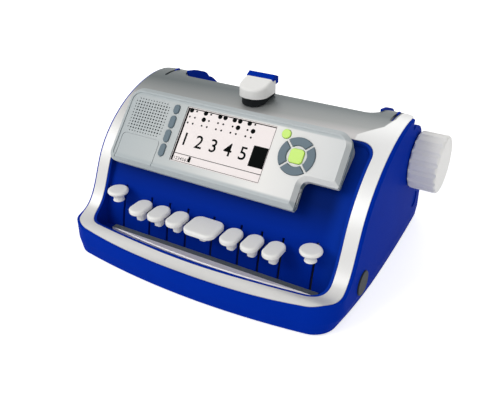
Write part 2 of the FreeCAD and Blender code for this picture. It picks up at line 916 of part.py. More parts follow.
def round_tube(edges, start, along, radius):
    """A solid round tube along lines and arcs that run smoothly on from each other."""
    ring = Part.makeCircle(radius, start, along)
    faces = [Part.Face(Part.Wire(ring))]
    for edge in edges:
        following = ring.copy()
        if isinstance(edge.Curve, Part.Circle):
            centre = edge.Curve.Center
            axis = edge.Curve.Axis
            angle = math.degrees(edge.Length / edge.Curve.Radius)
            faces.append(ring.revolve(centre, axis, angle))
            following.rotate(centre, axis, angle)
        else:
            step = edge.Vertexes[-1].Point - edge.Vertexes[0].Point
            faces.append(ring.extrude(step))
            following.translate(step)
        ring = following
    faces.append(Part.Face(Part.Wire(ring)))
    skin = Part.makeCompound(faces)
    skin.sewShape()
    tube = Part.Solid(skin.Shells[0])
    if tube.Volume < 0:
        tube.reverse()
    return tube


def make_key_return_springs():
    """A torsion spring round the shaft beside each lever, with a leg to the front and one to the back."""
    radius = shaft_radius + spring_gap + spring_wire / 2
    pitch = spring_wire + spring_pitch_gap
    quarters = 4 * spring_turns
    places = [helix_place(0, radius, pitch, step / 4) for step in range(quarters + 1)]
    tip = places[0][0] - places[0][1] * spring_leg
    tail = places[-1][0] + places[-1][1] * spring_leg
    edges = [Part.makeLine(tip, places[0][0])]
    for (first, along_first), (last, along_last) in zip(places, places[1:]):
        edges += two_arcs(first, along_first, last, along_last)
    edges.append(Part.makeLine(places[-1][0], tail))
    spring = round_tube(edges, tip, places[0][1], spring_wire / 2)
    print("Spring turns stand %.2f mm clear of each other" % (pitch - spring_wire))
    side = lever_thickness / 2 + spring_clearance
    return Part.makeCompound([translated(spring, x + side, 0, 0) for _, x, _ in key_places])


def key_frame(kind):
    """Depth and top height of a key of a kind."""
    if kind == "round":
        return round_key_share * body_depth, round_key_top_z
    return key_row_share * body_depth, key_top_z


def lever_height(kind):
    """Middle height of the lever's blade where it carries the cap."""
    _, top = key_frame(kind)
    if kind == "round":
        return top - round_cap_height + round_lever_rise + lever_depth / 2
    return top - cap_thickness - stem_length / 2


def make_lever(x, kind):
    """Flat steel lever: a blade through the slot, a hub on the shaft and a short tail."""
    key_y, _ = key_frame(kind)
    blade_z = lever_height(kind)
    half = lever_depth / 2
    wall_y, _ = at(well_wall_shares[1])
    bend_y = wall_y + lever_bend
    tail_y = pivot_y + tail_length
    outline = [
        (key_y - lever_tip, blade_z - half), (bend_y, blade_z - half), (pivot_y, pivot_z - half),
        (tail_y, pivot_z - half), (tail_y, pivot_z + half), (pivot_y, pivot_z + half + lever_hub_rise),
        (bend_y, blade_z + half), (key_y - lever_tip, blade_z + half)]
    lever = translated(polygon_prism(outline, lever_thickness / 2), x, 0, 0)
    side = lever_thickness / 2
    lever = lever.fuse(rod((x - side, pivot_y, pivot_z), (x + side, pivot_y, pivot_z), hub_radius))
    bore = rod((x - overrun, pivot_y, pivot_z), (x + overrun, pivot_y, pivot_z), shaft_radius + running_gap)
    return solid_of(lever.cut(bore).removeSplitter())


def rounded_top(shape, top, radius):
    """The same shape with the edges of its top face rounded."""
    edges = [edge for edge in shape.Edges if edge.BoundBox.ZMin > top - found_within]
    return shape.makeFillet(radius, edges)


def rounded_bottom(shape, bottom, radius):
    edges = [edge for edge in shape.Edges if edge.BoundBox.ZMax < bottom + found_within]
    return shape.makeFillet(radius, edges)


def make_cap(x, kind):
    """Key cap with the stem that grips the lever."""
    key_y, top = key_frame(kind)
    if kind == "round":
        cap = make_round_cap(x, key_y, top)
    else:
        if kind == "oval":
            corners = rectangle(x, key_y, oval_width, oval_length, oval_width * oval_round_share)
        else:
            corners = rectangle(x, key_y, square_width, square_depth, square_corner)
        cap = plate(corners, top - cap_thickness, top)
        cap = rounded_top(cap, top, cap_round)
        cap = rounded_bottom(cap, top - cap_thickness, cap_round)
        cap = cap.fuse(make_stem(x, key_y, top - cap_thickness))
    slot_half = lever_thickness / 2 + running_gap
    blade_z = lever_height(kind)
    half = lever_depth / 2 + running_gap
    front = key_y - lever_tip - running_gap
    slot = block((x - slot_half, front, -overrun), (x + slot_half, key_y + overrun, blade_z + half))
    return solid_of(cap.cut(slot))


def make_stem(x, key_y, top):
    """A short tapered post under a cap."""
    low = top - stem_length
    wide = rounded_wire(
        rectangle(x, key_y, stem_width, stem_depth, stem_width * stem_round_share), top + cap_round / 2)
    narrow_width = stem_width * stem_taper_share
    narrow_depth = stem_depth * stem_taper_share
    narrow = rounded_wire(
        rectangle(x, key_y, narrow_width, narrow_depth, narrow_width * stem_round_share), low)
    return Part.makeLoft([narrow, wide], True, True)


def make_round_cap(x, key_y, top):
    """A mushroom cap on a waisted neck."""
    low = top - round_cap_height
    edge = round_head_height / 2
    bend = 1 - math.sqrt(0.5)
    flat = Vector(round_cap_radius - edge, 0, top)
    side = Vector(round_cap_radius, 0, top - edge)
    upper = Vector(round_cap_radius - edge * bend, 0, top - edge * bend)
    lower = Vector(round_cap_radius - edge * bend, 0, top - round_head_height + edge * bend)
    under = Vector(round_cap_radius - edge, 0, top - round_head_height)
    waist_z = (low + under.z) / 2
    waist = Vector(round_neck_radius - round_neck_hollow, 0, waist_z - round_neck_hollow)
    foot = Vector(round_neck_radius, 0, low)
    edges = [
        Part.makeLine(Vector(0, 0, top), flat), Part.Arc(flat, upper, side).toShape(),
        Part.Arc(side, lower, under).toShape(), Part.Arc(under, waist, foot).toShape(),
        Part.makeLine(foot, Vector(0, 0, low)), Part.makeLine(Vector(0, 0, low), Vector(0, 0, top))]
    cap = Part.Face(Part.Wire(edges)).revolve(Vector(0, 0, 0), Vector(0, 0, 1), 360)
    return translated(cap, x, key_y, 0)


def make_head_carriage():
    """Block on both rails, under the cover's notch."""
    low = rail_heights[1] - carriage_margin
    high = rail_heights[0] + carriage_margin
    body = block(
        (head_x - carriage_width / 2, rail_y - carriage_depth / 2, low),
        (head_x + carriage_width / 2, rail_y + carriage_depth / 2, high))
    for z in rail_heights:
        body = body.cut(rod((-overrun, rail_y, z), (overrun, rail_y, z), rail_radius + running_gap))
    return body


handle_front = handle_front_share * body_depth
handle_back = handle_front + handle_length
nose_y = handle_back - nose_length
nose_z = handle_rear_z - nose_drop


def handle_outline(inset, back):
    """D-shaped outline of the head's handle: round in front and straight behind."""
    half = handle_width / 2 - inset
    front = handle_front + inset
    round_radius = half * handle_round_share
    return [
        (head_x - half, back, 0), (head_x - half, front, round_radius), (head_x + half, front, round_radius),
        (head_x + half, back, 0)]


def make_head_arm():
    """Blue arm: a leg that rises behind the cover's edge and a nose over the handle's rear."""
    carriage_top = rail_heights[0] + carriage_margin
    ridge = (handle_back, handle_rear_z + nose_rise)
    shoulder = (handle_back + arm_shoulder, ridge[1] - arm_shoulder_drop)
    base = shoulder[1] - arm_shoulder
    nose = polygon_prism([
        (nose_y + seat_gap, nose_z + seat_gap), (nose_y + seat_gap, handle_rear_z), ridge, shoulder,
        (shoulder[0], base), (handle_back + seat_gap, base), (handle_back + seat_gap, nose_z + seat_gap)],
        arm_width / 2)
    leg_front = notch_y + arm_leg_gap
    leg_back = leg_front + arm_leg_depth
    leg = polygon_prism([
        (leg_front, carriage_top), (leg_back, carriage_top), (leg_back, shoulder[1] - arm_leg_drop),
        (shoulder[0] - wall, shoulder[1]), (shoulder[0] - wall, base), (leg_front, base)], arm_leg_width / 2)
    arm = translated(nose, head_x, 0, 0).fuse(translated(leg, head_x + arm_leg_shift, 0, 0))
    return solid_of(arm.removeSplitter())


def make_head_handle():
    """White finger piece, sloping down to the front, stepped behind for the arm's nose."""
    outer = plate(handle_outline(0, handle_back), handle_base_z, handle_rear_z + nose_rise)
    slope = polygon_prism([
        (handle_front - wall, handle_front_z), (nose_y, handle_rear_z), (nose_y, nose_z),
        (handle_back + wall, nose_z), (handle_back + wall, overrun),
        (handle_front - wall, overrun)], overrun)
    handle = outer.cut(slope)
    edges = []
    for edge in handle.Edges:
        box = edge.BoundBox
        on_top = box.ZMin > handle_base_z + handle_edge
        if on_top and box.YMax < nose_y + seat_gap and box.YMin < nose_y - handle_edge:
            edges.append(edge)
    return solid_of(handle.makeFillet(handle_edge, edges))


def make_head_skirt():
    """Dark pad under the handle, a little narrower, shaped to glide above the cover."""
    low = cover_height - 2 * head_skirt_reach
    pad = plate(handle_outline(head_skirt_inset, handle_back + head_skirt_reach), low, handle_base_z)
    return solid_of(pad.cut(below_curve(offset_points(rim_points, -head_skirt_gap), overrun)))


def make_feed_shaft():
    reach = side_x(feed_y) + knob_gap + knob_length - knob_edge
    return rod((-reach, feed_y, feed_z), (reach, feed_y, feed_z), feed_shaft_radius)


def make_feed_roller():
    roller = rod(
        (-roller_half_length, feed_y, feed_z), (roller_half_length, feed_y, feed_z), roller_radius)
    bore = rod((-overrun, feed_y, feed_z), (overrun, feed_y, feed_z), feed_shaft_radius)
    return roller.cut(bore)


def make_feed_knobs():
    """Two round knobs with finger grooves, on the ends of the feed shaft."""
    start = side_x(feed_y) + knob_gap
    end = start + knob_length
    knob = rod((start, feed_y, feed_z), (end, feed_y, feed_z), knob_radius)
    rims = [edge for edge in knob.Edges if isinstance(edge.Curve, Part.Circle)]
    knob = knob.makeFillet(knob_edge, rims)
    for index in range(knob_grips):
        turn = 2 * math.pi * index / knob_grips
        y = feed_y + (knob_radius + knob_grip_radius / 2) * math.cos(turn)
        z = feed_z + (knob_radius + knob_grip_radius / 2) * math.sin(turn)
        knob = knob.cut(rod((start - cut_margin, y, z), (end + cut_margin, y, z), knob_grip_radius))
    seat = rod((start - cut_margin, feed_y, feed_z), (end - knob_edge, feed_y, feed_z), feed_shaft_radius)
    knob = solid_of(knob.cut(seat))
    return Part.makeCompound([knob, mirrored(knob)])


table_front = at(table_front_shares)
table_rear = at(table_rear_shares)
table_half_width = side_x(table_rear[0]) - wall - table_side_gap
table_slope = math.atan2(table_front[1] - table_rear[1], table_rear[0] - table_front[0])


def along_table(distance, lift):
    """A (y, z) place up the table from its rear edge, and above its top face."""
    return (
        table_rear[0] - distance * math.cos(table_slope) + lift * math.sin(table_slope),
        table_rear[1] + distance * math.sin(table_slope) + lift * math.cos(table_slope))


hinge_y, hinge_z = along_table(2 * rest_pin_radius, rest_pin_radius + rest_lift)


def make_paper_table():
    """Sloping plate that carries the paper to the roller, with two lugs for the reading rest."""
    outline = [along_table(0, 0), along_table(0, -table_thickness),
               (table_front[0], table_front[1] - table_thickness), table_front]
    table = polygon_prism(outline, table_half_width)
    inner = rest_half_width + rest_side_gap
    for side in (-1, 1):
        low = min(side * inner, side * (inner + rest_lug_width))
        high = max(side * inner, side * (inner + rest_lug_width))
        lug = polygon_prism([
            along_table(0, 0), along_table(rest_lug_length, 0),
            along_table(rest_lug_length - rest_lug_slope, 2 * rest_pin_radius + rest_lift),
            along_table(rest_lug_slope, 2 * rest_pin_radius + rest_lift)], rest_lug_width / 2)
        lug = translated(lug, (low + high) / 2, 0, 0)
        table = table.fuse(lug)
        cheek = make_cheek()
        cheek_x = ear_inner_x - cheek_gap - cheek_thickness / 2
        table = table.fuse(translated(cheek, side * cheek_x, 0, 0))
    pin_hole = rest_pin_radius / 2 + running_gap
    table = table.cut(rod((-overrun, hinge_y, hinge_z), (overrun, hinge_y, hinge_z), pin_hole))
    return solid_of(table.removeSplitter())


def make_cheek():
    """A lobed side guide standing on the table and reaching forward beside the ear."""
    front_y = notch_y + notch_radius - cheek_reach
    corner = (front_y, cheek_front_share * cover_height)
    lobe = [corner] + [at(shares) for shares in cheek_lobe_shares]
    tail = [lobe[-1]] + [at(shares) for shares in cheek_tail_shares]
    foot_y, foot_z = along_table(rest_pin_radius, 0)
    edges = [curve_edge(lobe), curve_edge(tail)]
    edges += line_edges([tail[-1], (tail[-1][0], foot_z), (foot_y, foot_z)])
    edges += line_edges([
        (foot_y, foot_z - table_thickness), (table_front[0], table_front[1] - table_thickness),
        (front_y, cheek_low_share * cover_height), corner])
    edges += line_edges([(foot_y, foot_z), (foot_y, foot_z - table_thickness)])
    return side_prism(edges, cheek_thickness / 2)


def make_reading_rest():
    """Hinged flap, folded down over the paper table."""
    base = rest_lift
    outline = [
        along_table(2 * rest_pin_radius, base + rest_pin_radius - rest_thickness / 2),
        along_table(rest_length, base), along_table(rest_length, base + rest_thickness),
        along_table(2 * rest_pin_radius, base + rest_pin_radius + rest_thickness / 2)]
    flap = polygon_prism(outline, rest_half_width)
    barrel = rod((-rest_half_width, hinge_y, hinge_z), (rest_half_width, hinge_y, hinge_z), rest_pin_radius)
    reach = rest_half_width + rest_side_gap + rest_lug_width
    pin = rod((-reach, hinge_y, hinge_z), (reach, hinge_y, hinge_z), rest_pin_radius / 2)
    return solid_of(flap.fuse([barrel, pin]).removeSplitter())


def make_release_shaft():
    reach = ear_slot_x + release_thickness / 2
    return rod((-reach, release_y, release_z), (reach, release_y, release_z), release_shaft_radius)


def make_release_levers():
    """A lever at each end of the shaft, whose tab fills the rear of the slot in the ear."""
    tab_y = release_rest_share * body_depth
    tab_top = curve_z(rim_curve, tab_y) + release_tab_rise
    shoulder = curve_z(under_curve, tab_y) - release_shoulder
    half = release_arm_width / 2
    front = tab_y - release_tab_length / 2
    back = tab_y + release_tab_length / 2
    edge_z = tab_top - release_tab_rise / 2
    outline = [
        (release_y - half, release_z), (release_y - half, release_z + half), (front, shoulder),
        (front, edge_z), (tab_y, tab_top), (back, edge_z), (back, shoulder),
        (release_y + half, release_z + half), (release_y + half, release_z)]
    side = release_thickness / 2
    lever = polygon_prism(outline, side)
    hub = rod((-side, release_y, release_z), (side, release_y, release_z), half)
    bore = rod((-overrun, release_y, release_z), (overrun, release_y, release_z), release_shaft_radius)
    lever = solid_of(lever.fuse(hub).cut(bore).removeSplitter())
    return Part.makeCompound([translated(lever, side * ear_slot_x, 0, 0) for side in (-1, 1)])


def make_rear_grip():
    """Finger pocket set into the back wall."""
    inner_face = half_depth - wall - seat_gap
    flange = translated(grip_plate(grip_flange), 0, inner_face - grip_wall, 0)
    flange = flange.common(block((-overrun, inner_face - grip_wall, 0), (overrun, inner_face, overrun)))
    cup = cup_block(grip_wall, inner_face)
    air = cup_block(0, inner_face + wall)
    pocket = flange.fuse(cup).cut(air)
    return solid_of(pocket.removeSplitter())


def cup_block(margin, back):
    """The pocket's block of air, or with a margin the block around it."""
    width = 2 * (grip_half_width + margin)
    height = grip_height + 2 * margin
    depth = grip_depth + margin - wall
    middle = grip_base_z + grip_height / 2
    radius = grip_corner + margin
    inner_face = half_depth - wall - seat_gap
    length = back - (inner_face - depth)
    slab = plate(rectangle(0, middle, width, height, radius), 0, length)
    slab.rotate(Vector(0, 0, 0), Vector(1, 0, 0), 90)
    return translated(slab, 0, back, 0)


display_y = display_y_share * body_depth
display_z = display_z_share * cover_height
display_place = Placement(Vector(display_x, display_y, display_z), Rotation(Vector(1, 0, 0), display_tilt))
display_half = display_width / 2
face_top = face_rise
face_flat = face_rise - face_sink


def placed(shape):
    """A shape drawn in the display's own plane, put where the display is."""
    moved = shape.copy()
    moved.Placement = display_place.multiply(moved.Placement)
    return moved


def display_corners(inset):
    left = -display_half + inset
    right = display_half - inset
    top = display_above - inset
    bottom = -display_below + inset
    notch_left = display_half - display_notch_width - inset
    notch_top = -display_below + display_notch_height + inset
    small = display_corner_small
    return [
        (left, bottom, display_corner_bottom - inset), (notch_left, bottom, small),
        (notch_left, notch_top, notch_fillet + inset), (right, notch_top, small),
        (right, top, display_corner_top_right - inset), (left, top, display_corner_top_left - inset)]


def soft_button_outline(index, margin):
    length = soft_button_short if index == 0 else soft_button_length
    width = soft_button_width + 2 * margin
    return rectangle(
        soft_button_x, soft_button_places[index], width, length + 2 * margin, width * slot_round_share)


def pad_key_shape(turn, margin, low, high):
    """A quarter of the ring: between two circles, with straight gaps on the diagonals."""
    ring = Part.makeCylinder(pad_outer_radius + margin, high - low, Vector(pad_x, pad_v, low))
    ring = ring.cut(Part.makeCylinder(pad_inner_radius - margin, high - low, Vector(pad_x, pad_v, low)))
    reach = 2 * pad_outer_radius
    start = pad_split / math.sqrt(2) - margin * math.sqrt(2)
    wedge = Part.Face(Part.makePolygon([
        Vector(0, start, low), Vector(reach, start + reach, low), Vector(-reach, start + reach, low),
        Vector(0, start, low)])).extrude(Vector(0, 0, high - low))
    wedge.rotate(Vector(0, 0, 0), Vector(0, 0, 1), turn)
    wedge.translate(Vector(pad_x, pad_v, 0))
    return ring.common(wedge)


def make_display_housing():
    """Grey front of the display module with a raised border and every opening in it."""
    low = -housing_depth
    shoulder = face_top - border_chamfer
    slope = Part.makeLoft([
        rounded_wire(display_corners(0), shoulder), rounded_wire(display_corners(border_chamfer), face_top)],
        True, True)
    outer = plate(display_corners(0), low, shoulder).fuse(slope)
    sink = plate(display_corners(border_chamfer + border_ridge), face_flat, face_top + cut_margin)
    inside = plate(display_corners(border_chamfer), low - cut_margin, face_flat - housing_wall)
    housing = outer.cut(sink).cut(inside)
    window = plate(rectangle(0, 0, lcd_width, lcd_height, window_corner), -overrun, overrun)
    cuts = [window]
    for index in range(len(soft_button_places)):
        cuts.append(plate(soft_button_outline(index, button_gap), -overrun, overrun))
    for turn in (0, 90, 180, 270):
        cuts.append(pad_key_shape(turn, button_gap, -overrun, overrun))
    centre_size = pad_centre_size + 2 * button_gap
    centre = rectangle(pad_x, pad_v, centre_size, centre_size, pad_centre_corner)
    cuts.append(plate(centre, -overrun, overrun))
    power_place = Vector(power_x, power_v, -overrun)
    cuts.append(Part.makeCylinder(power_radius + button_gap, 2 * overrun, power_place))
    cuts.append(blank_plate_cut())
    cuts += grille_holes()
    housing = housing.cut(cuts)
    housing = housing.cut(socket_block(0))
    for shift in (-1, 1):
        housing = housing.cut(jack_hole(shift))
    right = display_half
    groove = block(
        (right - groove_sink, -groove_length / 2, -housing_depth / 2 - groove_width / 2),
        (right + cut_margin, groove_length / 2, -housing_depth / 2 + groove_width / 2))
    housing = housing.cut(groove)
    return placed(solid_of(housing))


def blank_plate_cut():
    """A thin line around the bare plate under the grille."""
    x = grille_x
    top = grille_v - grille_rows / 2 * grille_pitch_v - grille_pitch_v / 2
    outer = rectangle(x, top - plate_height / 2, plate_width, plate_height, plate_corner)
    inner = rectangle(
        x, top - plate_height / 2, plate_width - 2 * plate_sink, plate_height - 2 * plate_sink,
        plate_corner - plate_sink)
    ring = plate(outer, face_flat - plate_sink, face_flat + cut_margin)
    return ring.cut(plate(inner, face_flat - 2 * plate_sink, face_flat + 2 * cut_margin))


def grille_holes():
    """Rows of round holes, larger in the middle, with the corners left out."""
    holes = []
    for row in range(grille_rows):
        for column in range(grille_columns):
            edge_row = row in (0, grille_rows - 1)
            edge_column = column in (0, grille_columns - 1)
            if edge_row and edge_column:
                continue
            x = grille_x + (column - (grille_columns - 1) / 2) * grille_pitch_x
            v = grille_v + (row - (grille_rows - 1) / 2) * grille_pitch_v
            radius = grille_edge_radius if edge_row or edge_column else grille_hole_radius
            low = face_top - 2 * housing_wall
            holes.append(Part.makeCylinder(radius, 3 * housing_wall, Vector(x, v, low)))
    return holes


socket_wall_x = display_half - display_notch_width


def socket_block(margin):
    """The socket's opening in the notch's side wall."""
    low = -socket_sink - socket_width - margin
    return block(
        (socket_wall_x - 2 * display_corner_bottom, socket_v - socket_length / 2 - margin, low),
        (socket_wall_x + cut_margin, socket_v + socket_length / 2 + margin, -socket_sink + margin))


def jack_hole(shift):
    z = -socket_sink - socket_width / 2
    y = socket_v + shift * jack_spacing / 2
    start = (socket_wall_x - 2 * display_corner_bottom, y, z)
    return rod(start, (socket_wall_x + cut_margin, y, z), jack_radius)


def make_usb_socket():
    """Metal socket shell, open at the notch."""
    low = -socket_sink - socket_width
    end = socket_wall_x - groove_sink
    start = end - socket_depth
    shell = block(
        (start, socket_v - socket_length / 2, low), (end, socket_v + socket_length / 2, -socket_sink))
    wall_size = groove_sink / 2
    air = block(
        (start + wall_size, socket_v - socket_length / 2 + wall_size, low + wall_size),
        (end + cut_margin, socket_v + socket_length / 2 - wall_size, -socket_sink - wall_size))
    tongue = block(
        (start, socket_v - tongue_length / 2, low + socket_width / 2 - wall_size),
        (end - groove_sink, socket_v + tongue_length / 2, low + socket_width / 2 + wall_size))
    return placed(solid_of(shell.cut(air).fuse(tongue)))


def make_display_back():
    """Tray behind the display, filling down to the well's wall and the cover."""
    top = -housing_depth - seat_gap
    tray = plate(display_corners(back_inset), -back_reach, top)
    inset = back_inset + housing_wall
    floor = top - board_thickness - lcd_thickness
    hollow = plate(display_corners(inset), floor, top + cut_margin)
    tray = placed(tray.cut(hollow))
    ground = below_curve(offset_points(rim_points, -seat_gap), overrun)
    keep_air = well_air(-seat_gap)
    tray = tray.cut(ground.cut(keep_air))
    solids = sorted(tray.Solids, key=lambda solid: solid.Volume)
    return solids[-1]


def make_lcd_screen():
    corners = rectangle(0, 0, lcd_width - 2 * lcd_gap, lcd_height - 2 * lcd_gap, lcd_corner)
    return placed(plate(corners, -lcd_thickness, 0))


def make_circuit_board():
    top = -housing_depth - seat_gap
    low = top - board_thickness - lcd_thickness + seat_gap
    return placed(plate(display_corners(board_inset), low, low + board_thickness))


def make_speaker():
    """Low round loudspeaker behind the grille."""
    top = face_flat - housing_wall - seat_gap
    magnet_radius = speaker_radius / 2
    back = top - speaker_height
    basket = Part.makeCone(magnet_radius, speaker_radius, speaker_height, Vector(grille_x, grille_v, back))
    magnet_height = speaker_height / 2
    magnet_place = Vector(grille_x, grille_v, back - magnet_height)
    magnet = Part.makeCylinder(magnet_radius, magnet_height, magnet_place)
    return placed(basket.fuse(magnet).removeSplitter())


button_floor = face_flat - housing_wall - button_travel - button_flange_thickness - seat_gap


def button_with_flange(make_outline, rise):
    """A button's face through the housing, with a wider flange behind the housing's wall."""
    top = face_flat + rise
    body = make_outline(0, button_floor, top)
    flange = make_outline(button_flange, button_floor, button_floor + button_flange_thickness)
    edges = [edge for edge in body.Edges if edge.BoundBox.ZMin > top - found_within]
    body = body.makeFillet(button_edge, edges)
    return placed(solid_of(body.fuse(flange).removeSplitter()))


def make_soft_button(index):
    return button_with_flange(
        lambda margin, low, high: plate(soft_button_outline(index, margin), low, high), button_rise)


def make_pad_key(turn):
    def outline(margin, low, high):
        return pad_key_shape(turn, 0, low, high)
    return button_with_flange(outline, button_rise)


def make_pad_centre():
    size = pad_centre_size
    return button_with_flange(
        lambda margin, low, high: plate(
            rectangle(pad_x, pad_v, size, size, pad_centre_corner), low, high), button_rise)


def make_power_button():
    return button_with_flange(
        lambda margin, low, high: Part.makeCylinder(
            power_radius + margin, high - low, Vector(power_x, power_v, low)), button_rise)


parts = {
    "top_cover": make_top_cover(),
    "lower_shell": make_lower_shell(),
    "well_panel": make_well_panel(),
    "well_bar": make_well_bar(),
    "well_felt": make_well_felt(),
    "bottom_plate": make_bottom_plate(),
    "rubber_feet": make_rubber_feet(),
    "casing_screws": make_casing_screws(),
    "battery_pack": make_battery_pack(),
    "side_plugs": make_side_plugs(),
    "side_frames": make_side_frames(),
    "key_pivot_shaft": make_key_pivot_shaft(),
    "key_return_springs": make_key_return_springs(),
    "carriage_rails": make_carriage_rails(),
    "head_carriage": make_head_carriage(),
    "head_arm": make_head_arm(),
    "head_handle": make_head_handle(),
    "head_skirt": make_head_skirt(),
    "feed_shaft": make_feed_shaft(),
    "feed_roller": make_feed_roller(),
    "feed_knobs": make_feed_knobs(),
    "paper_table": make_paper_table(),
    "reading_rest": make_reading_rest(),
    "release_shaft": make_release_shaft(),
    "release_levers": make_release_levers(),
    "rear_grip": make_rear_grip(),
    "display_housing": make_display_housing(),
    "display_back": make_display_back(),
    "lcd_screen": make_lcd_screen(),
    "circuit_board": make_circuit_board(),
    "speaker": make_speaker(),
    "usb_socket": make_usb_socket(),
    "nav_centre": make_pad_centre(),
    "power_button": make_power_button(),
}
for number in range(len(soft_button_places)):
    parts["soft_button_%d" % (number + 1)] = make_soft_button(number)
for name, turn in (("nav_up", 0), ("nav_left", 90), ("nav_down", 180), ("nav_right", 270)):
    parts[name] = make_pad_key(turn)
for name, x, kind in key_places:
    parts[name + "_lever"] = make_lever(x, kind)
    parts[name + "_cap"] = make_cap(x, kind)

os.makedirs("parts", exist_ok=True)
for name, shape in parts.items():
    shape.exportStep("parts/%s.step" % name)
    print("%-24s solids %d volume %.0f valid %s" % (name, len(shape.Solids), shape.Volume, shape.isValid()))
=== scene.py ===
import json
import math

import bmesh
import bpy
from mathutils import Euler, Matrix, Vector


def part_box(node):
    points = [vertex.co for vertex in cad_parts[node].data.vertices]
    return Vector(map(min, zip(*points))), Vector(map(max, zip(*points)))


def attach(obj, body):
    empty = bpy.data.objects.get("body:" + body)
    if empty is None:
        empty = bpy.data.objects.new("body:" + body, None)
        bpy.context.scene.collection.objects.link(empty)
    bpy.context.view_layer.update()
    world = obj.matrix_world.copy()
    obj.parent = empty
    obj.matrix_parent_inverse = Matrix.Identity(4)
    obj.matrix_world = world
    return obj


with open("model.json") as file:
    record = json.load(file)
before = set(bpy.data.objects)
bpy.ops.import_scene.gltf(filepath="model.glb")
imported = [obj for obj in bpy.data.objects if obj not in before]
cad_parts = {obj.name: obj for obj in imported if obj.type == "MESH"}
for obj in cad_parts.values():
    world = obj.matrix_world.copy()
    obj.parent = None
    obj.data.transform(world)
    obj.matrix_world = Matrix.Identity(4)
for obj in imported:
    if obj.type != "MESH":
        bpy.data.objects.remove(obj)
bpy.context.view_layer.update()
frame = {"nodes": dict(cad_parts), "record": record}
nodes = frame["nodes"]

# The camera: where the lens stands, in metres, and where it looks, in degrees
camera_place = (0.28097, -0.4894, 0.36593)
camera_azimuth = 29.86
camera_elevation = 30.1
focal_pixels = 645.24
image_width = 500
sensor_width = 36.0

lens_clip = 0.01

# The floor and the lamps
floor_radius = 4.0
floor_sides = 96
floor_white = (250, 250, 250)
floor_glow = 0.62
room_light = 0.48
key_lamp = {"place": (-1.1, -1.4, 1.4), "target": (0, 0, 0.08), "size": 1.4, "power": 18.0}
fill_lamp = {"place": (1.6, -1.3, 0.9), "target": (0, 0, 0.08), "size": 1.6, "power": 6.0}
rear_lamp = {"place": (-0.4, 1.5, 1.3), "target": (0, 0, 0.08), "size": 1.2, "power": 4.0}

# The screen's picture, in millimetres on its own plane
display_tilt = 49.3
lcd_width = 95.04
lcd_height = 53.86
lcd_thickness = 2.6
ink_height = 0.04
top_band = 0.9
side_band = 1.9
thin_band = 0.4
cell_count = 5
cell_left_share = 0.052
cell_pitch_share = 0.164
dot_column_share = 0.060
dot_row_shares = (0.053, 0.170, 0.282)
big_dot = 2.25
small_dot = 0.95
digit_height = 12.7
digit_base_share = 0.682
digit_font_share = 0.729
digit_weight_share = 0.012
block_shares = (0.829, 0.393, 0.985, 0.752)
rule_share = 0.84
rule_width = 0.6
strip_left_share = 0.032
strip_base_share = 0.955
strip_digit_height = 3.0
strip_digits = "1 2 3 4 5 6 7"
cursor_share = 0.2
cursor_size = (2.6, 5.2)
digits = "12345"
# Raised dots of each digit, counted down the left column and then down the right one
digit_dots = {"1": (1,), "2": (1, 2), "3": (1, 4), "4": (1, 4, 5), "5": (1, 5)}
circle_sides = 32

digit_shift_share = -0.01
strip_pitch_share = 0.8

millimetre = 0.001

# Grain of all the surfaces
noise_low = 0.3
noise_high = 0.7
patch_detail = 2.0
grain_detail = 3.0
coat_roughness = 0.2
new_stop_place = 0.5

# Painted reflections along the cover, at a few places in metres: darker towards the rear edge and paler to
# the front, with an edge that bends twice before a paler painted reflection strip on the right
cover_reflection_lean = 0.055
cover_reflection_stops = (
    (-0.036, (95, 103, 104)), (-0.012, (158, 160, 159)), (0.0, (208, 205, 204)), (0.02, (216, 215, 213)))
strip_reflection_stops = ((-0.1, (216, 215, 213)), (-0.03, (236, 236, 235)))
reflection_edge_bends = ((0.0074, 0.0244, -0.018), (0.0244, 0.0407, -0.0048))
reflection_edge_places = (0.1035, 0.1055)

# Painted light and shade of the display across its face and its rim, and painted shade on its right side
display_light_and_shade_stops = (
    (-0.12, (171, 178, 180)), (-0.055, (184, 189, 189)), (0.045, (230, 229, 226)), (0.105, (212, 214, 214)))
rim_shade_stops = ((-0.12, (168, 176, 178)), (0.11, (184, 190, 192)))
shaded_rim_top_places = (0.0885, 0.0905)
shaded_rim_bottom_places = (0.0295, 0.0265)
# Painted shade on the display's right side, chosen by how far a surface faces along X
display_side_shade_tones = ((108, 121, 126), (118, 130, 135))
display_side_shade_facing = (0.6, 0.85)
display_side_shade_patch = 0.01

# Painted shadow of the well by height, darker under the display, and painted light beside the display on
# its right
well_shadow_stops = ((0.03, (0, 43, 154)), (0.06, (0, 43, 154)), (0.085, (0, 30, 104)))
well_side_light_tones = ((4, 50, 160), (8, 55, 168))
well_side_light_places = (0.104, 0.122)
well_side_light_patch = 0.02


def linear(colour, alpha=1.0):
    """A display colour, 0 to 255, as the renderer's linear one."""
    parts = []
    for value in colour:
        share = value / 255
        parts.append(share / 12.92 if share <= 0.04045 else ((share + 0.055) / 1.055) ** 2.4)
    return (*parts, alpha)


# Materials
def new_material(name):
    material = bpy.data.materials.new(name)
    material.use_nodes = True
    return material, material.node_tree, material.node_tree.nodes["Principled BSDF"]


def noise(tree, size, detail=patch_detail, stretch=(1, 1, 1)):
    """A noise output whose grains are about size metres across, in the object's own space."""
    place = tree.nodes.new("ShaderNodeTexCoord")
    mapping = tree.nodes.new("ShaderNodeMapping")
    mapping.inputs["Scale"].default_value = stretch
    tree.links.new(place.outputs["Object"], mapping.inputs["Vector"])
    texture = tree.nodes.new("ShaderNodeTexNoise")
    texture.inputs["Scale"].default_value = 1 / size
    texture.inputs["Detail"].default_value = detail
    tree.links.new(mapping.outputs["Vector"], texture.inputs["Vector"])
    return texture.outputs["Fac"]


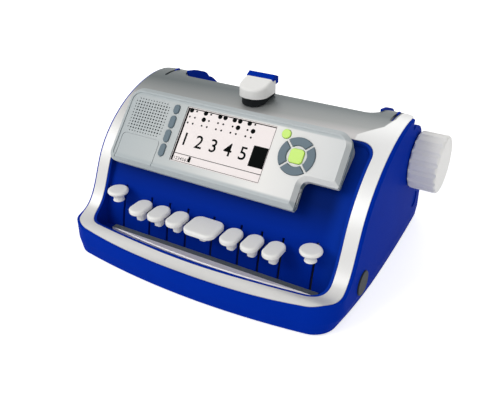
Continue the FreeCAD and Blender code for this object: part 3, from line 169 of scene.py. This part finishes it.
def ranged(tree, source, low, high):
    """The source, spread between two values."""
    spread = tree.nodes.new("ShaderNodeMapRange")
    spread.inputs["From Min"].default_value = noise_low
    spread.inputs["From Max"].default_value = noise_high
    spread.inputs["To Min"].default_value = low
    spread.inputs["To Max"].default_value = high
    tree.links.new(source, spread.inputs["Value"])
    return spread.outputs["Result"]


def mixed(tree, source, first, second):
    """A colour between two display colours."""
    mix = tree.nodes.new("ShaderNodeMix")
    mix.data_type = "RGBA"
    mix.inputs["A"].default_value = linear(first)
    mix.inputs["B"].default_value = linear(second)
    tree.links.new(source, mix.inputs["Factor"])
    return mix.outputs["Result"]


def bumped(tree, shader, source, depth):
    bump = tree.nodes.new("ShaderNodeBump")
    bump.inputs["Distance"].default_value = depth
    tree.links.new(source, bump.inputs["Height"])
    tree.links.new(bump.outputs["Normal"], shader.inputs["Normal"])


def place_of(tree, axis):
    """The X, Y or Z of a place on the object, in metres."""
    place = tree.nodes.new("ShaderNodeTexCoord")
    split = tree.nodes.new("ShaderNodeSeparateXYZ")
    tree.links.new(place.outputs["Object"], split.inputs["Vector"])
    return split.outputs[axis]


def share_of(tree, source, start, end, smooth=False):
    """0 up to the start and 1 from the end on."""
    spread = tree.nodes.new("ShaderNodeMapRange")
    spread.interpolation_type = "SMOOTHSTEP" if smooth else "LINEAR"
    spread.inputs["From Min"].default_value = start
    spread.inputs["From Max"].default_value = end
    tree.links.new(source, spread.inputs["Value"])
    return spread.outputs["Result"]


def sum_of(tree, *terms):
    """The sum of (source, factor) terms."""
    total = None
    for source, factor in terms:
        step = tree.nodes.new("ShaderNodeMath")
        step.operation = "MULTIPLY_ADD"
        step.inputs[1].default_value = factor
        step.inputs[2].default_value = 0
        tree.links.new(source, step.inputs[0])
        if total is not None:
            tree.links.new(total, step.inputs[2])
        total = step.outputs["Value"]
    return total


def ramped(tree, source, stops):
    """A colour from a row of (place, display colour) stops."""
    low = stops[0][0]
    high = stops[-1][0]
    ramp = tree.nodes.new("ShaderNodeValToRGB")
    elements = ramp.color_ramp.elements
    while len(elements) < len(stops):
        elements.new(new_stop_place)
    for element, (place, colour) in zip(elements, stops):
        element.position = (place - low) / (high - low)
        element.color = linear(colour)
    tree.links.new(share_of(tree, source, low, high), ramp.inputs["Fac"])
    return ramp.outputs["Color"]


def blended(tree, factor, first, second):
    """A colour between two colour outputs."""
    mix = tree.nodes.new("ShaderNodeMix")
    mix.data_type = "RGBA"
    tree.links.new(factor, mix.inputs["Factor"])
    tree.links.new(first, mix.inputs["A"])
    tree.links.new(second, mix.inputs["B"])
    return mix.outputs["Result"]


def facing(tree, axis):
    """How far a surface faces along X, Y or Z."""
    geometry = tree.nodes.new("ShaderNodeNewGeometry")
    split = tree.nodes.new("ShaderNodeSeparateXYZ")
    tree.links.new(geometry.outputs["Normal"], split.inputs["Vector"])
    return split.outputs[axis]


def cover_painted_reflections(tree):
    """Silver with painted reflections that darken it towards the cover's rear edge, and a paler painted
    reflection strip on the right of a painted edge.
    """
    x = place_of(tree, "X")
    y = place_of(tree, "Y")
    panel = ramped(tree, sum_of(tree, (x, cover_reflection_lean), (y, -1.0)), cover_reflection_stops)
    bends = [(share_of(tree, y, start, end), shift) for start, end, shift in reflection_edge_bends]
    reflection_edge = sum_of(tree, (x, 1.0), *bends)
    strip = ramped(tree, y, strip_reflection_stops)
    return blended(tree, share_of(tree, reflection_edge, *reflection_edge_places, True), panel, strip)


def display_painted_light_and_shade(tree):
    """Silver with painted light that makes it paler to the right, a painted darker rim above and below, and
    painted shade on the side that faces right.
    """
    x = place_of(tree, "X")
    face = ramped(tree, x, display_light_and_shade_stops)
    rim = ramped(tree, x, rim_shade_stops)
    lean = math.radians(display_tilt)
    up = sum_of(tree, (place_of(tree, "Y"), math.cos(lean)), (place_of(tree, "Z"), math.sin(lean)))
    tones = blended(tree, share_of(tree, up, *shaded_rim_top_places, True), face, rim)
    tones = blended(tree, share_of(tree, up, *shaded_rim_bottom_places, True), tones, rim)
    # Painted shade on the surfaces that face right
    side = mixed(tree, noise(tree, display_side_shade_patch), *display_side_shade_tones)
    return blended(tree, share_of(tree, facing(tree, "X"), *display_side_shade_facing, True), tones, side)


def well_painted_shadow_and_light(tree):
    """Blue with a painted shadow that darkens it under the display, and painted light that makes it paler
    on the display's right.
    """
    shade = ramped(tree, place_of(tree, "Z"), well_shadow_stops)
    # Painted light on the well to the right of the display
    painted_side_light = mixed(tree, noise(tree, well_side_light_patch), *well_side_light_tones)
    return blended(tree, share_of(tree, place_of(tree, "X"), *well_side_light_places, True), shade, painted_side_light)


def finish_of(name, first, second, roughness, grain, depth, patch=0.03, stretch=(1, 1, 1), metallic=0.0,
              coat=0.0, sheen=0.0, specular=0.5, tones=None):
    """A surface whose colour drifts between two tones, or comes from the given tones function of painted
    light, shade and reflections, with a fine grain.
    """
    material, tree, shader = new_material(name)
    colour = tones(tree) if tones else mixed(tree, noise(tree, patch), first, second)
    tree.links.new(colour, shader.inputs["Base Color"])
    fine = noise(tree, grain, grain_detail, stretch)
    tree.links.new(ranged(tree, fine, *roughness), shader.inputs["Roughness"])
    bumped(tree, shader, fine, depth)
    shader.inputs["Metallic"].default_value = metallic
    shader.inputs["Coat Weight"].default_value = coat
    shader.inputs["Coat Roughness"].default_value = coat_roughness
    shader.inputs["Sheen Weight"].default_value = sheen
    shader.inputs["Specular IOR Level"].default_value = specular
    return material


materials = {
    "casing_blue": finish_of(
        "casing_blue", (0, 44, 162), (2, 48, 170), (0.5, 0.6), 0.0006, 0.00002, specular=0.01),
    # well_blue takes its colour from a painted shadow and painted light
    "well_blue": finish_of(
        "well_blue", None, None, (0.5, 0.6), 0.0005, 0.00003, specular=0.03, tones=well_painted_shadow_and_light),
    # cover_silver takes its colour from painted reflections
    "cover_silver": finish_of(
        "cover_silver", None, None, (0.34, 0.42), 0.0003, 0.00001, metallic=0.3, specular=0.3,
        tones=cover_painted_reflections),
    # display_grey takes its colour from painted light and shade
    "display_grey": finish_of(
        "display_grey", None, None, (0.42, 0.52), 0.0004, 0.00002, metallic=0.1, specular=0.3,
        tones=display_painted_light_and_shade),
    "display_rear": finish_of(
        "display_rear", (148, 156, 160), (156, 163, 168), (0.5, 0.6), 0.0006, 0.00003),
    "screen_glass": finish_of(
        "screen_glass", (247, 238, 236), (249, 240, 238), (0.16, 0.22), 0.002, 0.000002, specular=0.2),
    "screen_ink": finish_of(
        "screen_ink", (6, 9, 9), (9, 13, 13), (0.5, 0.6), 0.002, 0.000002, specular=0.02),
    "button_grey": finish_of(
        "button_grey", (104, 120, 130), (112, 129, 139), (0.42, 0.52), 0.0004, 0.00003, specular=0.2),
    "button_green": finish_of(
        "button_green", (196, 238, 96), (206, 245, 112), (0.36, 0.46), 0.0004, 0.00003, coat=0.2),
    "key_white": finish_of(
        "key_white", (244, 243, 240), (249, 248, 245), (0.34, 0.44), 0.0005, 0.00002, specular=0.3),
    "steel": finish_of(
        "steel", (168, 170, 173), (182, 184, 187), (0.22, 0.38), 0.0004, 0.00002,
        stretch=(0.05, 1, 1), metallic=1.0),
    "dark_steel": finish_of(
        "dark_steel", (82, 84, 88), (98, 100, 104), (0.32, 0.48), 0.0004, 0.00002,
        stretch=(1, 0.05, 1), metallic=0.9),
    "bar_silver": finish_of(
        "bar_silver", (236, 232, 233), (244, 240, 241), (0.3, 0.4), 0.0003, 0.00001,
        stretch=(0.03, 1, 1), metallic=0.15),
    "felt": finish_of(
        "felt", (60, 70, 76), (78, 88, 94), (0.9, 1.0), 0.0004, 0.00025, patch=0.002, sheen=0.4),
    "rubber_black": finish_of(
        "rubber_black", (16, 20, 22), (22, 26, 29), (0.6, 0.75), 0.0005, 0.00004, patch=0.01,
        specular=0.2),
    "plug_black": finish_of(
        "plug_black", (30, 36, 39), (37, 43, 46), (0.48, 0.6), 0.0005, 0.00004, patch=0.01, specular=0.2),
    "roller_rubber": finish_of(
        "roller_rubber", (38, 38, 40), (48, 48, 50), (0.6, 0.75), 0.0006, 0.00006, patch=0.01),
    "board_green": finish_of(
        "board_green", (16, 84, 44), (24, 100, 54), (0.3, 0.45), 0.0008, 0.00002, patch=0.004, coat=0.5),
    "speaker_black": finish_of(
        "speaker_black", (24, 24, 26), (34, 34, 37), (0.6, 0.8), 0.0008, 0.00006, patch=0.004),
    "socket_steel": finish_of(
        "socket_steel", (186, 186, 188), (200, 200, 203), (0.18, 0.3), 0.0004, 0.00001, metallic=1.0),
    "battery_black": finish_of(
        "battery_black", (28, 28, 31), (36, 36, 40), (0.4, 0.55), 0.001, 0.00003, patch=0.01),
    "zinc": finish_of(
        "zinc", (150, 152, 156), (166, 168, 172), (0.28, 0.42), 0.0005, 0.00002, metallic=1.0),
}
scene_materials = {"screen": "screen_glass"}

for row in frame["record"]["subparts"]:
    name = scene_materials.get(row["material_slot"], row["material_slot"])
    for holder in nodes[row["node"]].material_slots:
        holder.material = materials[name]


# Pieces of the screen's picture
def display_matrix():
    """From the screen's own plane, in millimetres, to the frame."""
    low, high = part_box("lcd_screen")
    turn = Matrix.Rotation(math.radians(display_tilt), 4, "X")
    face = (low + high) / 2 + turn @ Vector((0, 0, lcd_thickness / 2 * millimetre))
    return Matrix.Translation(face) @ turn @ Matrix.Scale(millimetre, 4)


display = display_matrix()


def on_screen(across, down):
    """A place on the picture from its shares of width and height, in millimetres from the middle."""
    return (across - 0.5) * lcd_width, (0.5 - down) * lcd_height


def new_piece(name, mesh, body, material):
    piece = bpy.data.objects.new(name, mesh)
    bpy.context.scene.collection.objects.link(piece)
    piece.data.materials.clear()
    piece.data.materials.append(materials[material])
    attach(piece, body)
    return piece


def add_prism(shape, outline, low, high):
    """Adds a straight-sided block over a flat outline."""
    base = [shape.verts.new((x, y, low)) for x, y in outline]
    top = [shape.verts.new((x, y, high)) for x, y in outline]
    shape.faces.new(list(reversed(base)))
    shape.faces.new(top)
    for index in range(len(outline)):
        after = (index + 1) % len(outline)
        shape.faces.new((base[index], base[after], top[after], top[index]))


def oblong(left, bottom, right, top):
    return [(left, bottom), (right, bottom), (right, top), (left, top)]


def disc(x, y, radius):
    turns = [2 * math.pi * step / circle_sides for step in range(circle_sides)]
    return [(x + radius * math.cos(turn), y + radius * math.sin(turn)) for turn in turns]


def ink_piece(name, outlines):
    shape = bmesh.new()
    for outline in outlines:
        add_prism(shape, outline, 0, ink_height)
    shape.transform(display)
    mesh = bpy.data.meshes.new(name)
    shape.to_mesh(mesh)
    shape.free()
    return new_piece(name, mesh, "root", "screen_ink")


def screen_frame():
    half_width = lcd_width / 2 - 2 * thin_band
    half_height = lcd_height / 2 - 2 * thin_band
    left, bottom, right, top = -half_width, -half_height, half_width, half_height
    rule = on_screen(0, rule_share)[1]
    outlines = [
        oblong(left, top - top_band, right, top), oblong(left, bottom, left + side_band, top - top_band),
        oblong(right - thin_band, bottom, right, top - top_band),
        oblong(left + side_band, bottom, right - thin_band, bottom + thin_band),
        oblong(left + side_band, rule - rule_width, right - thin_band, rule)]
    ink_piece("screen_frame", outlines)


def screen_dots():
    outlines = []
    for cell in range(cell_count):
        raised = digit_dots[digits[cell]]
        for column in range(2):
            for row, down in enumerate(dot_row_shares):
                number = column * len(dot_row_shares) + row + 1
                across = cell_left_share + cell * cell_pitch_share + column * dot_column_share
                radius = big_dot if number in raised else small_dot
                outlines.append(disc(*on_screen(across, down), radius))
    ink_piece("screen_dots", outlines)


def screen_digits(name, text, height, places):
    """Plain figures, one at each (x, y) place of their left foot."""
    for index, (figure, (x, y)) in enumerate(zip(text, places)):
        curve = bpy.data.curves.new(name, "FONT")
        curve.body = figure
        curve.size = height / digit_font_share
        curve.extrude = ink_height / 2
        curve.offset = digit_weight_share * height
        holder = bpy.data.objects.new(name, curve)
        bpy.context.scene.collection.objects.link(holder)
        bpy.context.view_layer.update()
        mesh = bpy.data.meshes.new_from_object(holder)
        bpy.data.objects.remove(holder)
        mesh.transform(display @ Matrix.Translation((x, y, ink_height / 2)))
        new_piece("%s_%d" % (name, index + 1), mesh, "root", "screen_ink")


def screen_content():
    screen_frame()
    screen_dots()
    places = [
        on_screen(cell_left_share + digit_shift_share + cell * cell_pitch_share, digit_base_share)
        for cell in range(cell_count)]
    screen_digits("screen_digit", digits, digit_height, places)
    left, top = on_screen(*block_shares[:2])
    right, bottom = on_screen(*block_shares[2:])
    x, y = on_screen(cursor_share, strip_base_share)
    cursor = oblong(x, y, x + cursor_size[0], y + cursor_size[1])
    ink_piece("screen_blocks", [oblong(left, bottom, right, top), cursor])
    strip = strip_digits.split()
    pitch = strip_pitch_share * strip_digit_height
    start = on_screen(strip_left_share, strip_base_share)
    places = [(start[0] + step * pitch, start[1]) for step in range(len(strip))]
    screen_digits("screen_count", strip, strip_digit_height, places)


screen_content()


# Camera, floor and lamps
def make_camera():
    lens = bpy.data.cameras.new("camera")
    lens.sensor_width = sensor_width
    lens.lens = focal_pixels / image_width * sensor_width
    lens.clip_start = lens_clip
    holder = bpy.data.objects.new("camera", lens)
    holder.location = camera_place
    holder.rotation_euler = Euler(
        (math.radians(90 - camera_elevation), 0, math.radians(camera_azimuth)))
    bpy.context.scene.collection.objects.link(holder)
    bpy.context.scene.camera = holder


def seen_directly(tree):
    """1 for what the camera, a reflection or a glass sees of this surface, 0 for its light."""
    path = tree.nodes.new("ShaderNodeLightPath")
    first = tree.nodes.new("ShaderNodeMath")
    first.operation = "MAXIMUM"
    second = tree.nodes.new("ShaderNodeMath")
    second.operation = "MAXIMUM"
    tree.links.new(path.outputs["Is Camera Ray"], first.inputs[0])
    tree.links.new(path.outputs["Is Glossy Ray"], first.inputs[1])
    tree.links.new(first.outputs["Value"], second.inputs[0])
    tree.links.new(path.outputs["Is Transmission Ray"], second.inputs[1])
    return second.outputs["Value"]


def make_floor():
    shape = bmesh.new()
    rim = []
    for step in range(floor_sides):
        turn = 2 * math.pi * step / floor_sides
        rim.append(shape.verts.new((floor_radius * math.cos(turn), floor_radius * math.sin(turn), 0)))
    shape.faces.new(rim)
    mesh = bpy.data.meshes.new("floor")
    shape.to_mesh(mesh)
    shape.free()
    floor = bpy.data.objects.new("floor", mesh)
    bpy.context.scene.collection.objects.link(floor)
    material, tree, shader = new_material("floor")
    shader.inputs["Base Color"].default_value = linear(floor_white)
    shader.inputs["Roughness"].default_value = 1.0
    shader.inputs["Specular IOR Level"].default_value = 0.0
    shader.inputs["Emission Color"].default_value = (1, 1, 1, 1)
    glow = tree.nodes.new("ShaderNodeMath")
    glow.operation = "MULTIPLY"
    glow.inputs[1].default_value = floor_glow
    tree.links.new(seen_directly(tree), glow.inputs[0])
    tree.links.new(glow.outputs["Value"], shader.inputs["Emission Strength"])
    mesh.materials.append(material)


def make_world():
    world = bpy.data.worlds.new("room")
    world.use_nodes = True
    tree = world.node_tree
    background = tree.nodes["Background"]
    background.inputs["Color"].default_value = (1, 1, 1, 1)
    spread = tree.nodes.new("ShaderNodeMapRange")
    spread.inputs["To Min"].default_value = room_light
    spread.inputs["To Max"].default_value = 1.0
    tree.links.new(seen_directly(tree), spread.inputs["Value"])
    tree.links.new(spread.outputs["Result"], background.inputs["Strength"])
    bpy.context.scene.world = world


def make_lamp(name, place, target, size, power):
    light = bpy.data.lights.new(name, "AREA")
    light.shape = "DISK"
    light.size = size
    light.energy = power
    holder = bpy.data.objects.new(name, light)
    holder.location = place
    aim = Vector(target) - Vector(place)
    holder.rotation_euler = aim.to_track_quat("-Z", "Y").to_euler()
    bpy.context.scene.collection.objects.link(holder)


make_camera()
make_floor()
make_world()
make_lamp("key_lamp", **key_lamp)
make_lamp("fill_lamp", **fill_lamp)
make_lamp("rear_lamp", **rear_lamp)
bpy.context.scene.view_settings.view_transform = "Standard"
